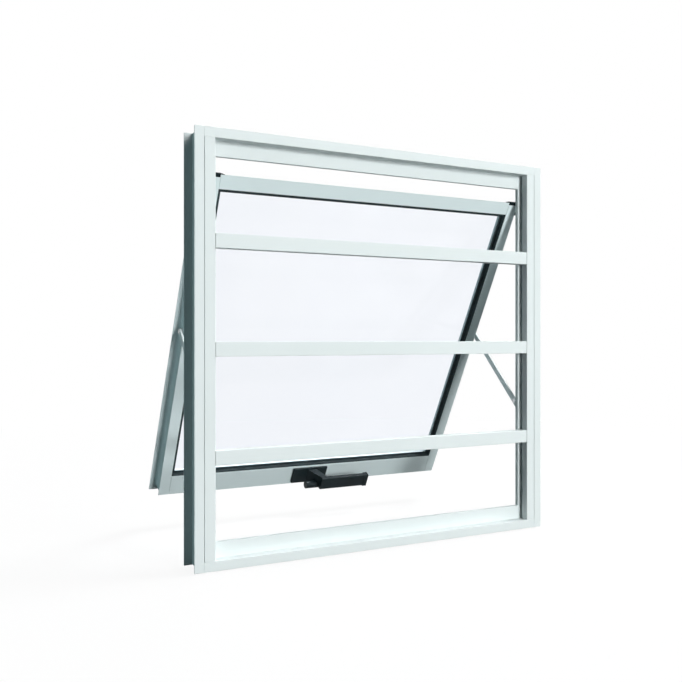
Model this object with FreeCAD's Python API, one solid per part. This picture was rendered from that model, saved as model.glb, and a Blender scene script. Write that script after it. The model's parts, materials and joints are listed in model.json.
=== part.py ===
import FreeCAD, Part

import math
import os

V = FreeCAD.Vector
ACROSS = V(1, 0, 0)
OUTWARD = V(0, 1, 0)

# All sizes are in millimetres and degrees. The frame is drawn with x across, y from the room
# face outward and z up from its bottom edge, and moved to the part's origin when it is written.

# Outer frame: jambs that run through, with the head and sill of the same section between them
FRAME_W = 600.0
FRAME_H = 600.0
FRAME_D = 48.0
FRAME_WALL = 1.6
FLANGE = 12.0            # front and back flanges, from the outer edge to the web
STOP_Y = 16.0            # room face to the front of the hollow stop
STOP_D = 6.5
STOP_H = 21.9            # reach of the stop from the web
TRACK_W = 12.0           # clear width of the track that the sash shoes run in
TRACK_BACK = 11.4        # back of the frame to the middle of the track
TRACK_RIB_H = 3.0
TRACK_RIB_T = 1.6

# Guard inside the frame: two tube stiles and three tube bars
GUARD_W = 15.2
GUARD_GAP = 0.6          # shadow line between the web and the stile
GUARD_WALL = 1.6
GUARD_REBATE_D = 4.0     # rebate along the back of each stile, a shadow line against the stop
GUARD_REBATE_W = 8.0
BAR_H = 20.0
BAR_PITCH = 147.5
BAR_COUNT = 3

# Sash: two stiles that run through and two rails between them
SASH_SIDE_ROOM = 14.9    # web to sash stile, where the stay arms fold away
SASH_TOP_ROOM = 16.9     # head web to the top of the closed sash
SASH_BOTTOM_ROOM = 5.9   # sill web to the bottom of the closed sash
SASH_SEAT_GAP = 1.5      # stop to the room face of the sash
SASH_DROP = 27.9         # how far the shoes have slid down
SASH_OPEN = 27.9         # opening angle, in degrees
SASH_D = 22.0
SASH_WALL = 1.5
STILE_FACE = 17.3
TOP_RAIL_FACE = 20.9
BOTTOM_RAIL_FACE = 35.7
WEATHER_FLANGE = 10.5    # past the boxes of the stiles and the bottom rail
COVE_R = 5.0             # inner corner between a box and its weather flange
CORNER_GAP = 0.4         # hairline between a rail and a stile
GLAZING_LIP = 2.4        # outer lip that the glass rests against
SASH_FIN = 12.0          # plate above the top rail's box, which laps the head's stop
SASH_FOOT = 8.0          # plate below the bottom rail's box

# Glass and its rubber
GLASS_N = 8.5            # sash room face to the glass
GLASS_T = 4.0
GLASS_EDGE_GAP = 1.0
GASKET_LINING = 1.2
GASKET_FACE = 6.0
GASKET_T = 1.5
GASKET_SET_BACK = 0.8
GASKET_RIBS_N = (2.0, 4.6)  # sash room face to the ribs on the lining
GASKET_RIB_T = 1.4
GASKET_RIB_H = 1.5
OUTER_SEAL_T = 1.0

# Moulded caps on the tips of the stiles, and the shoes that run in the track
CAP_H = 4.0
CAP_RISE = 1.5           # above the top edge of the sash
CAP_TONGUE = 6.5         # tapered, over the end of the top rail
CAP_D = 4.5
SHOE_ABOVE = 14.0        # from the level where the sash hangs on it
SHOE_BELOW = 4.0
SHOE_GAP = 0.3
SHOE_CORNER = 3.0
SHOE_N = 5.0             # sash room face to the middle of the shoe

# Stay arms and their pins
ARM_W = 9.0
ARM_T = 3.0
ARM_STANDOFF = 1.5       # sash stile to the arm
ARM_TAIL = 10.0          # arm past its pin on the jamb
ARM_SASH_DOWN = 250.0    # down the sash from its top edge to the pin
ARM_SASH_N = 10.0
ARM_FRAME_Z = 209.0      # sill edge to the pin on the jamb
PIN_R = 2.5
PIN_GAP = 0.05
PIN_HEAD_R = 3.6
PIN_HEAD_T = 0.9
BUSH_R = 5.2

# Handle on the bottom rail: a plate, and a lever of a neck, a nose and a grip with an end cap
PLATE_W = 66.0
PLATE_H = 30.0
PLATE_T = 4.0
PLATE_EDGE = 0.8
NECK_Z = (-8.5, 12.5)    # from the middle of the rail
NECK_ROOT = (-6.0, 11.0)  # across the plate, from its middle
NECK_TIP = (9.0, 22.0)
NOSE_R = 6.5
NOSE_X = (-14.0, 16.0)
NOSE_DROP = 7.5          # below the middle of the rail
NOSE_REACH = 17.0        # out from the plate
GRIP_RISE = 2.0          # above the middle of the rail
GRIP_X = (9.0, 102.0)
GRIP_H = 23.0
GRIP_T = 9.0
GRIP_REACH = 36.0        # sash room face to the front of the grip
GRIP_EDGE = 2.2
GRIP_CAP_L = 7.0
GRIP_CAP_PROUD = 0.9

# Worked out from the sizes above
WEB = FLANGE + FRAME_WALL
TRACK_Y = FRAME_D - TRACK_BACK
STOP_REACH = WEB + STOP_H
GUARD_INSET = WEB + GUARD_GAP
SASH_W = FRAME_W - 2 * (WEB + SASH_SIDE_ROOM)
SASH_H = FRAME_H - 2 * WEB - SASH_TOP_ROOM - SASH_BOTTOM_ROOM
SASH_TOP_Y = STOP_Y + STOP_D + SASH_SEAT_GAP
SASH_TOP_Z = FRAME_H - WEB - SASH_TOP_ROOM - SASH_DROP
LIGHT_W = SASH_W - 2 * STILE_FACE
LIGHT_H = SASH_H - TOP_RAIL_FACE - BOTTOM_RAIL_FACE
LIP_N = GLASS_N + GLASS_T + OUTER_SEAL_T
FLANGE_N = (SASH_D - SASH_WALL, SASH_D)
ARM_X = SASH_W / 2 + ARM_STANDOFF
OPEN_SIN = math.sin(math.radians(SASH_OPEN))
OPEN_COS = math.cos(math.radians(SASH_OPEN))
SHOE_DOWN = (TRACK_Y - SASH_TOP_Y - SHOE_N * OPEN_COS) / OPEN_SIN


def outline(points, normal_axis):
    """A closed wire through points (a, b): in the y-z plane, or in the x-y plane."""
    if normal_axis == "x":
        corners = [V(0, a, b) for a, b in points]
    else:
        corners = [V(a, b, 0) for a, b in points]
    return Part.makePolygon(corners + corners[:1])


def section(points, holes, normal_axis):
    """A flat face with its hollow chambers left open."""
    face = Part.Face(outline(points, normal_axis))
    for hole in holes:
        face = face.cut(Part.Face(outline(hole, normal_axis)))
    return face


def box(x, y, z):
    """A block between the low and high values of each axis."""
    return Part.makeBox(x[1] - x[0], y[1] - y[0], z[1] - z[0], V(x[0], y[0], z[0]))


def rectangle(a, b):
    """Corner points of a rectangle between the low and high values of two axes."""
    return [(a[0], b[0]), (a[1], b[0]), (a[1], b[1]), (a[0], b[1])]


def tube_across(x, y, z, wall):
    """A rectangular tube along x, open at both ends."""
    return box(x, y, z).cut(box(x, (y[0] + wall, y[1] - wall), (z[0] + wall, z[1] - wall)))


def mirrored_pair(name, right_solid):
    return {
        "%s_right" % name: right_solid,
        "%s_left" % name: right_solid.mirror(V(0, 0, 0), ACROSS),
    }


def centred_length(face, length):
    """A length along x of a (y, z) section, with its ends cut square."""
    bar = face.extrude(V(length, 0, 0))
    bar.translate(V(-length / 2, 0, 0))
    return bar


def mitred_length(face, length, reach):
    """A length along x of a (y, z) section, with its ends cut at 45 degrees up to z = reach."""
    bar = centred_length(face, length)
    half = length / 2
    corners = [V(-half, 0, 0), V(half, 0, 0), V(half - reach, 0, reach), V(-half + reach, 0, reach)]
    bounds = bar.BoundBox
    wedge = Part.Face(Part.makePolygon(corners + corners[:1])).extrude(V(0, bounds.YLength, 0))
    wedge.translate(V(0, bounds.YMin, 0))
    return bar.common(wedge)


def to_side(bar, side, width, height):
    """Moves a length drawn as the bottom of a rectangle on z = 0 to the side that it belongs to."""
    turn, place = {
        "bottom": (0, V(0, 0, 0)),
        "top": (180, V(0, 0, height)),
        "left": (90, V(-width / 2, 0, height / 2)),
        "right": (-90, V(width / 2, 0, height / 2)),
    }[side]
    bar.rotate(V(0, 0, 0), OUTWARD, turn)
    bar.translate(place)
    return bar


def frame_length(length, inner_length):
    """A channel with front and back flanges, and inside it a hollow stop and the ribs of the shoe track."""
    channel = section([
        (0, 0), (0, WEB), (FRAME_D, WEB), (FRAME_D, 0), (FRAME_D - FRAME_WALL, 0),
        (FRAME_D - FRAME_WALL, FLANGE), (FRAME_WALL, FLANGE), (FRAME_WALL, 0),
    ], [], "x")
    stop_y = (STOP_Y, STOP_Y + STOP_D)
    chamber_y = (STOP_Y + FRAME_WALL, STOP_Y + STOP_D - FRAME_WALL)
    stop = section(
        rectangle(stop_y, (WEB, STOP_REACH)), [rectangle(chamber_y, (WEB, STOP_REACH - FRAME_WALL))], "x"
    )
    inner = [stop]
    for rib_y in (TRACK_Y - TRACK_W / 2 - TRACK_RIB_T, TRACK_Y + TRACK_W / 2):
        rib = rectangle((rib_y, rib_y + TRACK_RIB_T), (WEB, WEB + TRACK_RIB_H))
        inner.append(section(rib, [], "x"))
    bar = centred_length(channel, length)
    return bar.fuse([centred_length(face, inner_length) for face in inner]).removeSplitter()


def outer_frame():
    """The jambs' stops end at those of the head and sill, which butt against the jambs' webs."""
    between = FRAME_W - 2 * WEB
    lengths = {
        "frame_sill": ("bottom", between, between),
        "frame_head": ("top", between, between),
        "frame_left_jamb": ("left", FRAME_H, FRAME_H - 2 * STOP_REACH),
        "frame_right_jamb": ("right", FRAME_H, FRAME_H - 2 * STOP_REACH),
    }
    return {
        node: to_side(frame_length(length, inner), side, FRAME_W, FRAME_H)
        for node, (side, length, inner) in lengths.items()
    }


def rebated(low, side, back, rebate_side, rebate_back):
    """Corner points of a rectangle from low, with a rebate out of its far corner."""
    return [
        (low, low), (side, low), (side, rebate_back), (rebate_side, rebate_back),
        (rebate_side, back), (low, back),
    ]


def guard_stile():
    """A tube from sill web to head web, rebated at the back on the side that faces the opening."""
    rebate_side, rebate_back = GUARD_W - GUARD_REBATE_W, STOP_Y - GUARD_REBATE_D
    points = rebated(0, GUARD_W, STOP_Y, rebate_side, rebate_back)
    chamber = rebated(GUARD_WALL, *(v - GUARD_WALL for v in (GUARD_W, STOP_Y, rebate_side, rebate_back)))
    stile = section(points, [chamber], "z").extrude(V(0, 0, FRAME_H - 2 * WEB))
    stile.translate(V(-FRAME_W / 2 + GUARD_INSET, 0, WEB))
    return stile


def guard():
    """Tube stiles against the stops, with tube bars between them, all flush with the frame."""
    left = guard_stile()
    nodes = {"guard_left_stile": left, "guard_right_stile": left.mirror(V(0, 0, 0), ACROSS)}
    inner = FRAME_W / 2 - GUARD_INSET - GUARD_W
    for index in range(BAR_COUNT):
        middle = FRAME_H / 2 + (index - (BAR_COUNT - 1) / 2) * BAR_PITCH
        height = (middle - BAR_H / 2, middle + BAR_H / 2)
        nodes["guard_bar_%d" % (index + 1)] = tube_across((-inner, inner), (0, STOP_Y), height, GUARD_WALL)
    return nodes


def sash_box(low, high):
    """The hollow box of a sash length, between two distances from the sash's edge."""
    return rectangle((low, high), (0, SASH_D)), rectangle(
        (low + SASH_WALL, high - SASH_WALL), (SASH_WALL, SASH_D - SASH_WALL)
    )


def weather_flange(low):
    """The flange on the outer face, from the box outward."""
    return rectangle((low - WEATHER_FLANGE, low), FLANGE_N)


def cove(low, normal_axis):
    """The rounded corner between the side of the box and its weather flange."""
    back = FLANGE_N[0]
    bend = COVE_R * (1 - math.sqrt(0.5))
    points = [(low, back), (low - COVE_R, back), (low - bend, back - bend), (low, back - COVE_R)]
    if normal_axis == "x":
        corner, on_flange, middle, on_box = [V(0, depth, inward) for inward, depth in points]
    else:
        corner, on_flange, middle, on_box = [V(inward, depth, 0) for inward, depth in points]
    edges = [
        Part.makeLine(corner, on_flange), Part.Arc(on_flange, middle, on_box).toShape(),
        Part.makeLine(on_box, corner),
    ]
    return Part.Face(Part.Wire(edges))


def glazing_lip(face):
    """The lip behind the glass, from the box inward."""
    return rectangle((face, face + GLAZING_LIP), (LIP_N, LIP_N + SASH_WALL))


def hung_length(face, top, bottom):
    """A length of an (x, y) section between two distances down the sash."""
    bar = face.extrude(V(0, 0, top - bottom))
    bar.translate(V(0, 0, -top))
    return bar


def sash_stile():
    """The left stile: a box, a face plate past both its ends, a weather flange and a glazing lip."""
    points, chamber = sash_box(0, STILE_FACE)
    box_end = SASH_H - SASH_FOOT
    flange_end = box_end + WEATHER_FLANGE
    light_end = SASH_H - BOTTOM_RAIL_FACE
    plates = [
        (rectangle((0, STILE_FACE), (0, SASH_WALL)), CAP_H, SASH_H),
        (weather_flange(0), SASH_FIN, flange_end),
        (rectangle((0, STILE_FACE), FLANGE_N), box_end, flange_end),
        (glazing_lip(STILE_FACE), TOP_RAIL_FACE + GLAZING_LIP, light_end - GLAZING_LIP),
    ]
    pieces = [hung_length(section(plate, [], "z"), top, bottom) for plate, top, bottom in plates]
    pieces.append(hung_length(cove(0, "z"), SASH_FIN, box_end))
    stile = hung_length(section(points, [chamber], "z"), SASH_FIN, box_end).fuse(pieces).removeSplitter()
    stile.translate(V(-SASH_W / 2, 0, 0))
    return stile


def turned(points):
    """Section points measured inward from an edge, as points of depth and height."""
    return [(depth, inward) for inward, depth in points]


def sash_rail(face, fin, flanged):
    """A rail between the stiles: its face plate rises from z = 0, with a box and a lip above the fin."""
    points, chamber = sash_box(fin, face)
    faces = [
        section(turned(points), [turned(chamber)], "x"),
        section(turned(glazing_lip(face)), [], "x"),
        section(turned(rectangle((0, fin), (0, SASH_WALL))), [], "x"),
    ]
    if flanged:
        faces += [section(turned(weather_flange(fin)), [], "x"), cove(fin, "x")]
    lengths = [centred_length(f, LIGHT_W - 2 * CORNER_GAP) for f in faces]
    return lengths[0].fuse(lengths[1:]).removeSplitter()


def sash_frame():
    left = sash_stile()
    top = to_side(sash_rail(TOP_RAIL_FACE, SASH_FIN, False), "top", SASH_W, 0)
    bottom = sash_rail(BOTTOM_RAIL_FACE, SASH_FOOT, True)
    bottom.translate(V(0, 0, -SASH_H))
    return {
        "sash_left_stile": left,
        "sash_right_stile": left.mirror(V(0, 0, 0), ACROSS),
        "sash_top_rail": top,
        "sash_bottom_rail": bottom,
    }


def glass():
    half = LIGHT_W / 2 - GLASS_EDGE_GAP
    top = -(TOP_RAIL_FACE + GLASS_EDGE_GAP)
    bottom = -(SASH_H - BOTTOM_RAIL_FACE - GLASS_EDGE_GAP)
    return {"sash_glass": box((-half, half), (GLASS_N, GLASS_N + GLASS_T), (bottom, top))}


def gaskets():
    """Room-side rubber with a face on the glass and a ribbed lining, and the seal behind the glass."""
    room_side = [(GASKET_SET_BACK, 0), (GASKET_SET_BACK, GASKET_LINING)]
    for rib in GASKET_RIBS_N:
        rib_top = GASKET_LINING + GASKET_RIB_H
        room_side += [(rib, GASKET_LINING), (rib, rib_top)]
        room_side += [(rib + GASKET_RIB_T, rib_top), (rib + GASKET_RIB_T, GASKET_LINING)]
    lip = GLASS_N - GASKET_T
    room_side += [(lip, GASKET_LINING), (lip, GASKET_FACE), (GLASS_N, GASKET_FACE), (GLASS_N, 0)]
    behind = rectangle((GLASS_N + GLASS_T, LIP_N), (GLASS_EDGE_GAP, GLAZING_LIP))
    nodes = {}
    for side in ("top", "bottom", "left", "right"):
        length = LIGHT_W if side in ("top", "bottom") else LIGHT_H
        strips = [
            to_side(mitred_length(section(points, [], "x"), length, GASKET_FACE), side, LIGHT_W, LIGHT_H)
            for points in (room_side, behind)
        ]
        node = Part.makeCompound(strips)
        node.translate(V(0, 0, -(SASH_H - BOTTOM_RAIL_FACE)))
        nodes["glazing_gasket_%s" % side] = node
    return nodes


def stile_caps():
    """Moulded caps on the tips of the stiles, each with a tapered tongue over the end of the top rail."""
    outer = SASH_W / 2
    inner = outer - STILE_FACE
    points = [
        (inner, -CAP_H), (outer, -CAP_H), (outer, CAP_RISE), (inner, CAP_RISE),
        (inner - CAP_TONGUE, 0), (inner, 0),
    ]
    corners = [V(x, 0, z) for x, z in points]
    cap = Part.Face(Part.makePolygon(corners + corners[:1])).extrude(V(0, CAP_D, 0))
    return mirrored_pair("stile_cap", cap)


def sash_point(down, depth):
    """World y and z of a point on the open sash, by its distance down the sash and its depth."""
    return (
        SASH_TOP_Y + down * OPEN_SIN + depth * OPEN_COS,
        SASH_TOP_Z - down * OPEN_COS + depth * OPEN_SIN,
    )


def cylinder_across(radius, x, y, z):
    """A round bar along x between the two values of x."""
    return Part.makeCylinder(radius, x[1] - x[0], V(x[0], y, z), ACROSS)


def slider_shoe():
    """A shoe that fills the jamb's track and carries the top corner of the sash."""
    y, z = sash_point(SHOE_DOWN, SHOE_N)
    half = TRACK_W / 2 - SHOE_GAP
    across = (SASH_W / 2 + SHOE_GAP, FRAME_W / 2 - WEB - SHOE_GAP)
    block = box(across, (y - half, y + half), (z - SHOE_BELOW, z + SHOE_ABOVE))
    long_edges = [e for e in block.Edges if abs(e.tangentAt(0).x) > 0.5]
    return block.makeFillet(SHOE_CORNER, long_edges)


def stay_arm():
    """A flat bar with round ends, from a little past its pin on the jamb to its pin on the sash."""
    end_y, end_z = sash_point(ARM_SASH_DOWN, ARM_SASH_N)
    rise, reach = end_z - ARM_FRAME_Z, end_y - TRACK_Y
    length = math.hypot(rise, reach)
    half = ARM_W / 2
    bar = box((0, ARM_T), (-half, half), (-ARM_TAIL, length))
    for z in (-ARM_TAIL, length):
        bar = bar.fuse(cylinder_across(half, (0, ARM_T), 0, z))
    for z in (0, length):
        bar = bar.cut(cylinder_across(PIN_R + PIN_GAP, (0, ARM_T), 0, z))
    bar = bar.removeSplitter()
    bar.rotate(V(0, 0, 0), ACROSS, -math.degrees(math.atan2(reach, rise)))
    bar.translate(V(ARM_X, TRACK_Y, ARM_FRAME_Z))
    return bar


def shouldered_pin(seat, near, far, y, z):
    """A pin from its seat through the arm between near and far, with a low head beyond it."""
    way = 1 if far > near else -1
    bush = cylinder_across(BUSH_R, sorted((seat, near)), y, z)
    shank = cylinder_across(PIN_R, sorted((near, far)), y, z)
    head = cylinder_across(PIN_HEAD_R, sorted((far, far + way * PIN_HEAD_T)), y, z)
    return bush.fuse([shank, head]).removeSplitter()


def pin_on_jamb():
    return shouldered_pin(FRAME_W / 2 - WEB, ARM_X + ARM_T, ARM_X, TRACK_Y, ARM_FRAME_Z)


def pin_on_sash():
    y, z = sash_point(ARM_SASH_DOWN, ARM_SASH_N)
    return shouldered_pin(SASH_W / 2, ARM_X, ARM_X + ARM_T, y, z)


def handle_plate(middle):
    across = (-PLATE_W / 2, PLATE_W / 2)
    plate = box(across, (-PLATE_T, 0), (middle - PLATE_H / 2, middle + PLATE_H / 2))
    front = [e for e in plate.Edges if max(v.Y for v in e.Vertexes) < 0]
    return plate.makeFillet(PLATE_EDGE, front)


def grip_block(x, grow, middle):
    """A rounded block of the grip's section, grown by a little on every side of it."""
    depth = (-GRIP_REACH - grow, -GRIP_REACH + GRIP_T + grow)
    block = box(x, depth, (middle - GRIP_H / 2 - grow, middle + GRIP_H / 2 + grow))
    return block.makeFillet(GRIP_EDGE, [e for e in block.Edges if abs(e.tangentAt(0).x) > 0.5])


def handle_lever(middle):
    """A neck that leans out from the plate, a round nose beside it and a grip along the rail."""
    grip_back = -GRIP_REACH + GRIP_T
    neck = section([
        (NECK_ROOT[0], -PLATE_T), (NECK_ROOT[1], -PLATE_T),
        (NECK_TIP[1], grip_back), (NECK_TIP[0], grip_back),
    ], [], "z").extrude(V(0, 0, NECK_Z[1] - NECK_Z[0]))
    neck.translate(V(0, 0, middle + NECK_Z[0]))
    nose = cylinder_across(NOSE_R, NOSE_X, -PLATE_T - NOSE_REACH, middle - NOSE_DROP)
    grip = grip_block(GRIP_X, 0, middle + GRIP_RISE)
    cap = grip_block((GRIP_X[1] - GRIP_CAP_L, GRIP_X[1]), GRIP_CAP_PROUD, middle + GRIP_RISE)
    return neck.fuse([nose, grip, cap]).removeSplitter()


def handle():
    middle = -(SASH_H - BOTTOM_RAIL_FACE / 2)
    return {"handle_plate": handle_plate(middle), "handle_lever": handle_lever(middle)}


def open_sash(nodes):
    """Swings pieces drawn on the closed, upright sash out to the open angle."""
    for shape in nodes.values():
        shape.rotate(V(0, 0, 0), ACROSS, SASH_OPEN)
        shape.translate(V(0, SASH_TOP_Y, SASH_TOP_Z))
    return nodes


def window():
    nodes = {**outer_frame(), **guard()}
    nodes.update(open_sash({**sash_frame(), **glass(), **gaskets(), **stile_caps(), **handle()}))
    nodes.update(mirrored_pair("slider_shoe", slider_shoe()))
    nodes.update(mirrored_pair("stay_arm", stay_arm()))
    nodes.update(mirrored_pair("stay_jamb_pin", pin_on_jamb()))
    nodes.update(mirrored_pair("stay_sash_pin", pin_on_sash()))
    return nodes


# The origin is on the back of the sill's front flange, where it lies on the wall
ORIGIN = V(0, FRAME_WALL, FLANGE / 2)

os.makedirs("parts", exist_ok=True)
for name, shape in window().items():
    shape.translate(-ORIGIN)
    shape.exportStep("parts/%s.step" % name)
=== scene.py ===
import json
import math

import bmesh
import bpy
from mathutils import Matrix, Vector


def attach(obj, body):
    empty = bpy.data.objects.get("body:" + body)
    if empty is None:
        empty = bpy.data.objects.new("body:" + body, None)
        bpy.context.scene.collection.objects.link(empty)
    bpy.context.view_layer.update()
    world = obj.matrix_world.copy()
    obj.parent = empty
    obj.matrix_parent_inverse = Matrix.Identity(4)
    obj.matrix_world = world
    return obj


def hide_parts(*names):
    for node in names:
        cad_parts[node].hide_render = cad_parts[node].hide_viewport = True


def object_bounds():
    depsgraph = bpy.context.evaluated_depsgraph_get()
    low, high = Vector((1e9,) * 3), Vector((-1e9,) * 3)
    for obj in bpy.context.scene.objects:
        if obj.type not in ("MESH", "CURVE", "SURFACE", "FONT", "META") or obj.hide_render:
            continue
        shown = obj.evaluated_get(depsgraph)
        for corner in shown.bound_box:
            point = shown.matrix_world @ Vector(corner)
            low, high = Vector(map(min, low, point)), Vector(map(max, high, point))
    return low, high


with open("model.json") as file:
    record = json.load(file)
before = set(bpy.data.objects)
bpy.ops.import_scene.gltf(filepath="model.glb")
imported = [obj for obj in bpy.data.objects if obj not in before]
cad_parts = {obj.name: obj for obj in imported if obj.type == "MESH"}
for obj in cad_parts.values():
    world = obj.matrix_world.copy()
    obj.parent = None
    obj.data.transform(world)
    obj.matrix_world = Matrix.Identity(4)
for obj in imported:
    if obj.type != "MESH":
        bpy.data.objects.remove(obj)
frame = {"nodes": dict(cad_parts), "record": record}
CAD_LOW, CAD_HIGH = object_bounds()

MM = 0.001
SASH_OPEN = math.radians(27.9)
COLOURS = {m["slot"]: m["base_color"] for m in frame["record"]["materials"]}
SLOT_OF = {s["node"]: s["material_slot"] for s in frame["record"]["subparts"]}

# Photograph's camera: a level view from the left of the room side
PHOTO_PIXELS = 682
FOCAL_PIXELS = 818.8
HORIZON_PIXEL = 338.6
SENSOR_MM = 36.0
CAMERA_AT = Vector((-0.6385, -1.0579, 0.3084))
CAMERA_TURN = math.radians(27.92)

# The sash's coat is a cooler copy of the frame's white as painted shade: it is the same paint, cooled
# where the sash slopes away from the light; the blacks lean to blue
SASH_SHADE_TINT = (0.95, 1.0, 1.01)
BLACK_TINT = (0.65, 1.0, 1.08)

# Specular levels of the finishes
COAT_GLOSS = 0.05
ARM_GLOSS = 0.5
RUBBER_GLOSS = 0.3
PLASTIC_GLOSS = 0.1

# Range that a noise texture mostly fills
NOISE_LOW = 0.3
NOISE_HIGH = 0.7

# Stretch of the texture that draws die lines on an extrusion, and turning marks on a pin
LINES_ALONG = 4
LINES_ACROSS = 900
TURNING_MARKS = (3000, 60, 60)

# Glass: its tint varies between two tones, its reflections are weakened and its shadow is pale
GLASS_TONES = (0.885, 0.91, 0.955, 1), (0.90, 0.922, 0.96, 1)
GLASS_IOR = 1.45
GLASS_REFLECTION = (0.25, 0.25, 0.25, 1)
GLASS_SHADOW = (0.93, 0.95, 0.96, 1)

# Finished pieces: the radius of their edges, and how their meshes are cleaned and smoothed
FRAME_EDGE = 0.6 * MM
SASH_EDGE = 0.4 * MM
GLASS_EDGE = 0.5 * MM
RUBBER_EDGE = 0.2 * MM
CAP_EDGE = 0.5 * MM
HANDLE_EDGE = 0.8 * MM
STAY_EDGE = 0.4 * MM
ROUND_SEGMENTS = 3
WELD = 0.002 * MM
FLAT_ANGLE = math.radians(0.5)
SHARP_ANGLE = math.radians(28)
SMOOTH_ANGLE = math.radians(40)
BAR_END_GAP = 0.5 * MM   # joint line at each end of a guard bar

# Surroundings: white to the eye, with a cool ambient light and a floor that throws back little
WHITE = (1, 1, 1, 1)
AMBIENT = (0.66, 0.95, 1.0, 1)
FLOOR_SEEN = (0.8, 0.8, 0.8, 1)
FLOOR_BOUNCE = (0.02, 0.025, 0.025, 1)
FLOOR_ROUGHNESS = 0.9


def new_material(name):
    """A node material with its principled shader, ready for textures."""
    material = bpy.data.materials.new(name)
    material.use_nodes = True
    tree = material.node_tree
    return material, tree, tree.nodes["Principled BSDF"]


def add_node(tree, kind, **values):
    """A new shader node with the named inputs set."""
    node = tree.nodes.new("ShaderNode" + kind)
    for name, value in values.items():
        node.inputs[name.replace("_", " ")].default_value = value
    return node


def place_texture(tree, turn=0.0, stretch=(1, 1, 1)):
    """Coordinates in the part's own frame, turned about x and stretched along the axes."""
    coordinates = tree.nodes.new("ShaderNodeTexCoord")
    mapping = add_node(tree, "Mapping", Rotation=(turn, 0, 0), Scale=stretch)
    tree.links.new(coordinates.outputs["Object"], mapping.inputs["Vector"])
    return mapping.outputs["Vector"]


def noise(tree, vector, scale, detail=3.0):
    """A noise value for each point."""
    node = add_node(tree, "TexNoise", Scale=scale, Detail=detail)
    tree.links.new(vector, node.inputs["Vector"])
    return node.outputs["Fac"]


def remap(tree, value, low, high):
    """Spreads a noise value between two numbers."""
    node = add_node(tree, "MapRange", From_Min=NOISE_LOW, From_Max=NOISE_HIGH, To_Min=low, To_Max=high)
    tree.links.new(value, node.inputs["Value"])
    return node.outputs["Result"]


def blend_colours(tree, factor, first, second):
    """A colour between two, by a factor from 0 to 1."""
    node = tree.nodes.new("ShaderNodeMix")
    node.data_type = "RGBA"
    tree.links.new(factor, node.inputs["Factor"])
    node.inputs["A"].default_value = first
    node.inputs["B"].default_value = second
    return node.outputs["Result"]


def join_values(tree, operation, first, second):
    """A maths node on a socket and a number, or on two sockets."""
    node = tree.nodes.new("ShaderNodeMath")
    node.operation = operation
    tree.links.new(first, node.inputs[0])
    if isinstance(second, float):
        node.inputs[1].default_value = second
    else:
        tree.links.new(second, node.inputs[1])
    return node.outputs["Value"]


def show_blend(tree, factor, first, second, output):
    """Sends a blend of two shaders to the tree's output."""
    mix = tree.nodes.new("ShaderNodeMixShader")
    tree.links.new(factor, mix.inputs["Fac"])
    tree.links.new(first, mix.inputs[1])
    tree.links.new(second, mix.inputs[2])
    tree.links.new(mix.outputs["Shader"], tree.nodes[output].inputs["Surface"])


def shade(colour, factor):
    """A darker or lighter tone of a colour."""
    return [c * factor for c in colour[:3]] + [1.0]


def tinted(colour, tint):
    """A colour with each of its parts scaled."""
    return [part * share for part, share in zip(colour, tint)]


def vary_colour(tree, shader, vector, scale, tones):
    """Lets the colour wander between two tones."""
    factor = remap(tree, noise(tree, vector, scale), 0, 1)
    tree.links.new(blend_colours(tree, factor, *tones), shader.inputs["Base Color"])


def vary_roughness(tree, shader, vector, scale, low, high):
    """Lets the roughness wander between two values."""
    tree.links.new(remap(tree, noise(tree, vector, scale), low, high), shader.inputs["Roughness"])


def grain(tree, vector, scale, strength, depth, detail=3.0, below=None):
    """Normals of a fine noisy relief, on top of those of another relief."""
    node = add_node(tree, "Bump", Strength=strength, Distance=depth)
    tree.links.new(noise(tree, vector, scale, detail), node.inputs["Height"])
    if below is not None:
        tree.links.new(below, node.inputs["Normal"])
    return node.outputs["Normal"]


def powder_coat(name, colour, along, turn=0.0, gloss=COAT_GLOSS):
    """Coat on an extrusion: slight clouding, fine orange peel and faint die lines along it."""
    material, tree, shader = new_material(name)
    plain = place_texture(tree, turn)
    lines = place_texture(tree, turn, [LINES_ALONG if axis == along else LINES_ACROSS for axis in "xyz"])
    vary_colour(tree, shader, plain, scale=9, tones=(shade(colour, 0.975), shade(colour, 1.0)))
    vary_roughness(tree, shader, plain, scale=60, low=0.46, high=0.56)
    peel = grain(tree, plain, scale=650, strength=0.12, depth=0.06 * MM, detail=2)
    drawn = grain(tree, lines, scale=1, strength=0.10, depth=0.04 * MM, detail=2, below=peel)
    tree.links.new(drawn, shader.inputs["Normal"])
    shader.inputs["Specular IOR Level"].default_value = gloss
    return material


def clear_glass(name):
    """Float glass with a faint tint, smears that only soften its gloss, and light let through it."""
    material, tree, shader = new_material(name)
    plain = place_texture(tree, SASH_OPEN)
    vary_colour(tree, shader, plain, scale=5, tones=GLASS_TONES)
    vary_roughness(tree, shader, plain, scale=18, low=0.02, high=0.05)
    shader.inputs["Transmission Weight"].default_value = 1.0
    shader.inputs["IOR"].default_value = GLASS_IOR
    shader.inputs["Specular Tint"].default_value = GLASS_REFLECTION
    clear = add_node(tree, "BsdfTransparent", Color=GLASS_SHADOW)
    path = tree.nodes.new("ShaderNodeLightPath")
    in_shadow = path.outputs["Is Shadow Ray"]
    show_blend(tree, in_shadow, shader.outputs["BSDF"], clear.outputs["BSDF"], "Material Output")
    return material


def black_rubber(name, colour):
    """Extruded rubber with a fine skin and a pale bloom in patches."""
    material, tree, shader = new_material(name)
    plain = place_texture(tree, SASH_OPEN)
    vary_colour(tree, shader, plain, scale=30, tones=(shade(colour, 0.5), shade(colour, 0.9)))
    vary_roughness(tree, shader, plain, scale=120, low=0.5, high=0.7)
    skin = grain(tree, plain, scale=1800, strength=0.2, depth=0.05 * MM)
    tree.links.new(skin, shader.inputs["Normal"])
    shader.inputs["Specular IOR Level"].default_value = RUBBER_GLOSS
    return material


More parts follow.
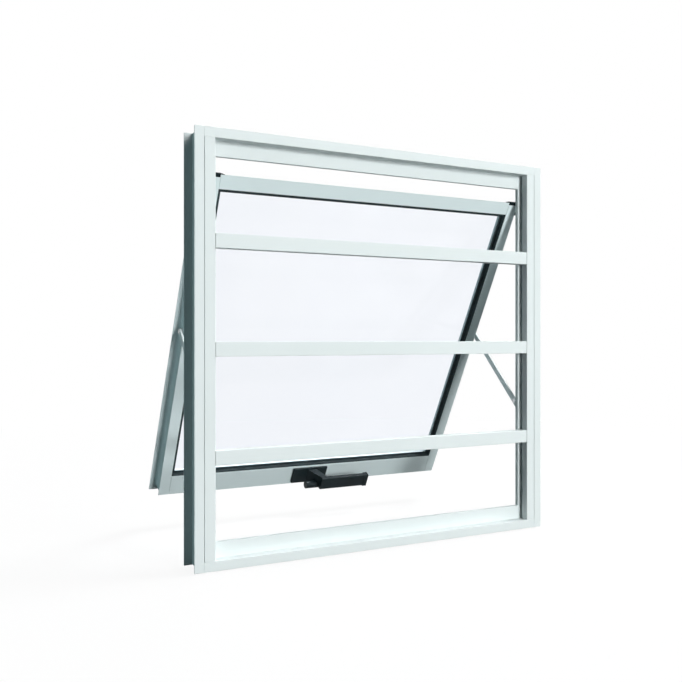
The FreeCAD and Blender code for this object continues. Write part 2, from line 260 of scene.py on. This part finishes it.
def moulded_plastic(name, colour):
    """Black moulded plastic with a spark-eroded grain."""
    material, tree, shader = new_material(name)
    plain = place_texture(tree, SASH_OPEN)
    vary_colour(tree, shader, plain, scale=40, tones=(shade(colour, 0.45), shade(colour, 0.7)))
    vary_roughness(tree, shader, plain, scale=90, low=0.36, high=0.5)
    eroded = grain(tree, plain, scale=2600, strength=0.35, depth=0.05 * MM, detail=2)
    tree.links.new(eroded, shader.inputs["Normal"])
    shader.inputs["Specular IOR Level"].default_value = PLASTIC_GLOSS
    return material


def turned_steel(name, colour):
    """Plated steel with fine turning marks round the pins, which all lie along x."""
    material, tree, shader = new_material(name)
    plain = place_texture(tree)
    marks = place_texture(tree, stretch=TURNING_MARKS)
    vary_colour(tree, shader, plain, scale=200, tones=(shade(colour, 0.85), shade(colour, 1.05)))
    vary_roughness(tree, shader, marks, scale=1, low=0.25, high=0.42)
    tree.links.new(grain(tree, marks, scale=1, strength=0.15, depth=0.03 * MM), shader.inputs["Normal"])
    shader.inputs["Metallic"].default_value = 1.0
    return material


def rounded_copy(node, radius, end_gap):
    """The node's shape as clean faces with rounded edges, cut back by a gap at both ends along x."""
    form = bmesh.new()
    form.from_mesh(frame["nodes"][node].data)
    bmesh.ops.remove_doubles(form, verts=form.verts, dist=WELD)
    bmesh.ops.dissolve_limit(form, angle_limit=FLAT_ANGLE, verts=form.verts, edges=form.edges)
    for corner in form.verts:
        corner.co.x -= math.copysign(end_gap, corner.co.x)
    sharp = [e for e in form.edges if len(e.link_faces) == 2 and e.calc_face_angle() > SHARP_ANGLE]
    bmesh.ops.bevel(
        form, geom=sharp, offset=radius, segments=ROUND_SEGMENTS, profile=0.5,
        affect="EDGES", clamp_overlap=True,
    )
    bmesh.ops.recalc_face_normals(form, faces=form.faces)
    for face in form.faces:
        face.smooth = True
    mesh = bpy.data.meshes.new(node + "_finished")
    form.to_mesh(mesh)
    form.free()
    mesh.set_sharp_from_angle(angle=SMOOTH_ANGLE)
    return mesh


def finish_node(node, material, radius):
    """Puts a finished piece in the place of a solid."""
    mesh = rounded_copy(node, radius, BAR_END_GAP if node.startswith("guard_bar") else 0.0)
    mesh.materials.append(material)
    piece = bpy.data.objects.new(node + "_finished", mesh)
    bpy.context.scene.collection.objects.link(piece)
    weighted = piece.modifiers.new("even_shading", "WEIGHTED_NORMAL")
    weighted.keep_sharp = True
    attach(piece, "root")
    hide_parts(node)


def finish_all_nodes():
    """Makes the materials and finishes every solid of the part."""
    white = COLOURS["white_aluminium"]
    # Painted shade: the sash gets a cooler copy of the frame's white coat, though it has the same paint
    sash_shaded_white = tinted(white, SASH_SHADE_TINT)
    upright = powder_coat("white_coat_upright", white, "z")
    level = powder_coat("white_coat_level", white, "x")
    sash_level = powder_coat("white_coat_sash_level_painted_shade", sash_shaded_white, "x")
    sash_sloping = powder_coat("white_coat_sash_sloping_painted_shade", sash_shaded_white, "z", -SASH_OPEN)
    glass = clear_glass("clear_glass")
    rubber = black_rubber("black_rubber", tinted(COLOURS["black_rubber"], BLACK_TINT))
    plastic = moulded_plastic("black_plastic", tinted(COLOURS["black_plastic"], BLACK_TINT))
    steel = turned_steel("turned_steel", COLOURS["steel_pins"])
    arms = powder_coat("arm_coat", COLOURS["arm_aluminium"], "z", -SASH_OPEN, ARM_GLOSS)
    gaskets = [node for node in SLOT_OF if node.startswith("glazing_gasket")]
    pins = [node for node in SLOT_OF if node.endswith(("pin_left", "pin_right"))]
    looks = (
        (("frame_head", "frame_sill", "guard_bar_1", "guard_bar_2", "guard_bar_3"), level, FRAME_EDGE),
        (("frame_left_jamb", "frame_right_jamb"), upright, FRAME_EDGE),
        (("guard_left_stile", "guard_right_stile"), upright, FRAME_EDGE),
        (("sash_top_rail", "sash_bottom_rail"), sash_level, SASH_EDGE),
        (("sash_left_stile", "sash_right_stile"), sash_sloping, SASH_EDGE),
        (("sash_glass",), glass, GLASS_EDGE),
        (gaskets, rubber, RUBBER_EDGE),
        (("stile_cap_left", "stile_cap_right"), plastic, CAP_EDGE),
        (("slider_shoe_left", "slider_shoe_right"), plastic, CAP_EDGE),
        (("handle_plate", "handle_lever"), plastic, HANDLE_EDGE),
        (("stay_arm_left", "stay_arm_right"), arms, STAY_EDGE),
        (pins, steel, STAY_EDGE),
    )
    for nodes, material, radius in looks:
        for node in nodes:
            finish_node(node, material, radius)


def background_rays(tree):
    """1 for camera, glossy and transmitted rays that have not bounced off a matte surface."""
    path = tree.nodes.new("ShaderNodeLightPath")
    direct = join_values(tree, "LESS_THAN", path.outputs["Diffuse Depth"], 0.5)
    seen = join_values(tree, "MAXIMUM", path.outputs["Is Camera Ray"], path.outputs["Is Glossy Ray"])
    seen = join_values(tree, "MAXIMUM", seen, path.outputs["Is Transmission Ray"])
    return join_values(tree, "MULTIPLY", seen, direct)


def white_world(front, back):
    """White to the eye and in reflections, with a low cool light that is stronger from behind."""
    world = bpy.data.worlds.new("white_surround")
    bpy.context.scene.world = world
    world.use_nodes = True
    tree = world.node_tree
    ambient = tree.nodes["Background"]
    ambient.inputs["Color"].default_value = AMBIENT
    direction = tree.nodes.new("ShaderNodeTexCoord")
    axes = tree.nodes.new("ShaderNodeSeparateXYZ")
    tree.links.new(direction.outputs["Generated"], axes.inputs["Vector"])
    level = add_node(tree, "MapRange", From_Min=-1.0, From_Max=1.0, To_Min=front, To_Max=back)
    tree.links.new(axes.outputs["Y"], level.inputs["Value"])
    tree.links.new(level.outputs["Result"], ambient.inputs["Strength"])
    white = add_node(tree, "Background", Color=WHITE, Strength=1.0)
    seen = background_rays(tree)
    show_blend(tree, seen, ambient.outputs["Background"], white.outputs["Background"], "World Output")


def pale_floor(drop, size, whiteness, fade):
    """A pale floor that keeps a faint shadow near the part and fades to white further off."""
    mesh = bpy.data.meshes.new("floor")
    half = size / 2
    z = CAD_LOW.z - drop
    corners = [(-half, -half, z), (half, -half, z), (half, half, z), (-half, half, z)]
    mesh.from_pydata(corners, [], [(0, 1, 2, 3)])
    floor = bpy.data.objects.new("floor", mesh)
    bpy.context.scene.collection.objects.link(floor)
    material, tree, shader = new_material("pale_floor")
    seen = background_rays(tree)
    tree.links.new(blend_colours(tree, seen, FLOOR_BOUNCE, FLOOR_SEEN), shader.inputs["Base Color"])
    shader.inputs["Roughness"].default_value = FLOOR_ROUGHNESS
    near = tree.nodes.new("ShaderNodeTexGradient")
    near.gradient_type = "SPHERICAL"
    tree.links.new(place_texture(tree, stretch=[1 / fade] * 3), near.inputs["Vector"])
    white_share = add_node(tree, "MapRange", To_Min=1.0, To_Max=whiteness)
    tree.links.new(near.outputs["Fac"], white_share.inputs["Value"])
    share = join_values(tree, "MULTIPLY", seen, white_share.outputs["Result"])
    white = add_node(tree, "Emission", Color=WHITE, Strength=1.0)
    show_blend(tree, share, shader.outputs["BSDF"], white.outputs["Emission"], "Material Output")
    mesh.materials.append(material)


def soft_light(name, place, size, power, colour=(1, 1, 1), hidden=False):
    """A square soft box aimed at the middle of the frame, hidden where it stands in the picture."""
    data = bpy.data.lights.new(name, "AREA")
    data.shape = "SQUARE"
    data.size = size
    data.energy = power
    data.color = colour
    lamp = bpy.data.objects.new(name, data)
    middle = Vector((0, 0, (CAD_LOW.z + CAD_HIGH.z) / 2))
    lamp.location = middle + Vector(place)
    lamp.rotation_euler = (middle - lamp.location).to_track_quat("-Z", "Y").to_euler()
    lamp.visible_camera = lamp.visible_transmission = not hidden
    bpy.context.scene.collection.objects.link(lamp)


def photo_camera():
    """The photograph's camera."""
    data = bpy.data.cameras.new("photo_camera")
    data.sensor_width = SENSOR_MM
    data.lens = SENSOR_MM * FOCAL_PIXELS / PHOTO_PIXELS
    data.shift_y = (HORIZON_PIXEL - PHOTO_PIXELS / 2) / PHOTO_PIXELS
    camera = bpy.data.objects.new("photo_camera", data)
    camera.location = CAMERA_AT
    camera.rotation_euler = (math.pi / 2, 0, -CAMERA_TURN)
    bpy.context.scene.collection.objects.link(camera)
    bpy.context.scene.camera = camera


finish_all_nodes()
white_world(front=0.01, back=0.2)
pale_floor(drop=0.002, size=30.0, whiteness=0.9, fade=2.0)
soft_light("key", place=(1.52, -5.5, 1.75), size=1.7, power=234, colour=(0.98, 1.0, 1.0))
soft_light("low", place=(1.4, -5.8, -0.3), size=1.5, power=205, colour=(0.95, 1.0, 1.0))
soft_light("top", place=(2.6, -0.4, 5.0), size=1.6, power=310)
soft_light("back", place=(2.5, 4.8, 1.0), size=2.0, power=150, hidden=True)
soft_light("side", place=(-6.0, 0.2, 0.3), size=0.5, power=42, colour=(0.62, 0.95, 1.0))
photo_camera()
bpy.context.scene.view_settings.view_transform = "Standard"
